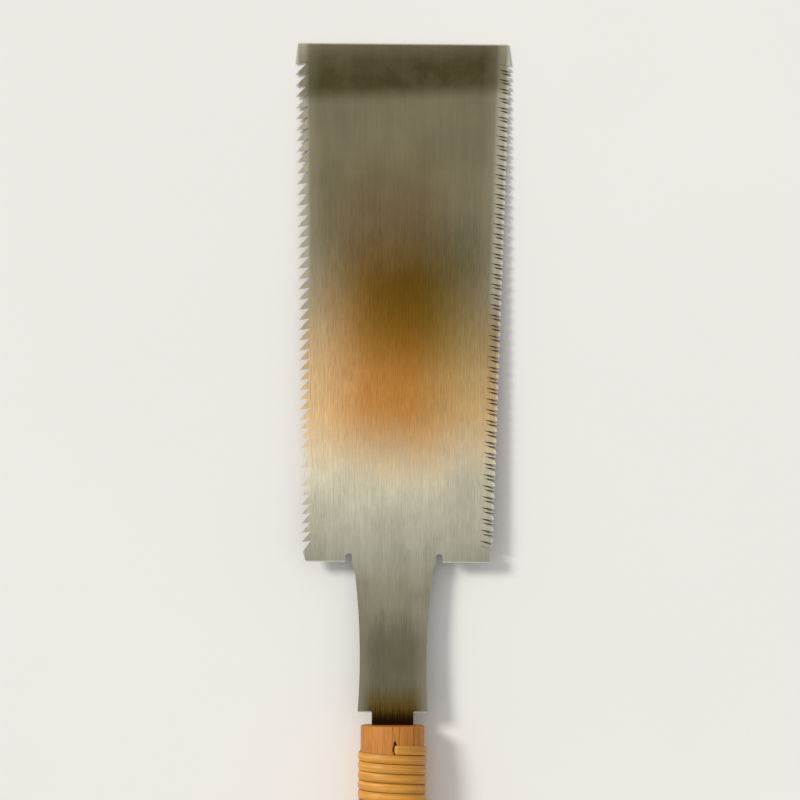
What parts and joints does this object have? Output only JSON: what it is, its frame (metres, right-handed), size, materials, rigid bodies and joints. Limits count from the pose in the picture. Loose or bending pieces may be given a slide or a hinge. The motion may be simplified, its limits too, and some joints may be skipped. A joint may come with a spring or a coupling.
{
  "type": "ryoba saw",
  "caption": "Double-edged pull saw: thin flared blade with rip teeth on one edge and crosscut teeth on the other, waisted neck, and an oval wooden handle bound with rattan.",
  "frame": {"origin": "middle of the handle's length, on its axis, in the middle plane of the blade", "axes": "+Y from the grip to the toe, +X to the crosscut edge, +Z out of the blade's upper face"},
  "size_m": [0.0995, 0.6148, 0.027],
  "materials": {
    "steel": "satin, with fine lengthwise scratches and a heat tint",
    "wood": "planed and bare, lengthwise grain",
    "rattan": "smooth glossy rind"
  },
  "bodies": {
    "root": {"blade": "steel", "handle_upper_half": "wood", "handle_lower_half": "wood", "rattan_wrap": "rattan"}
  },
  "joints": []
}
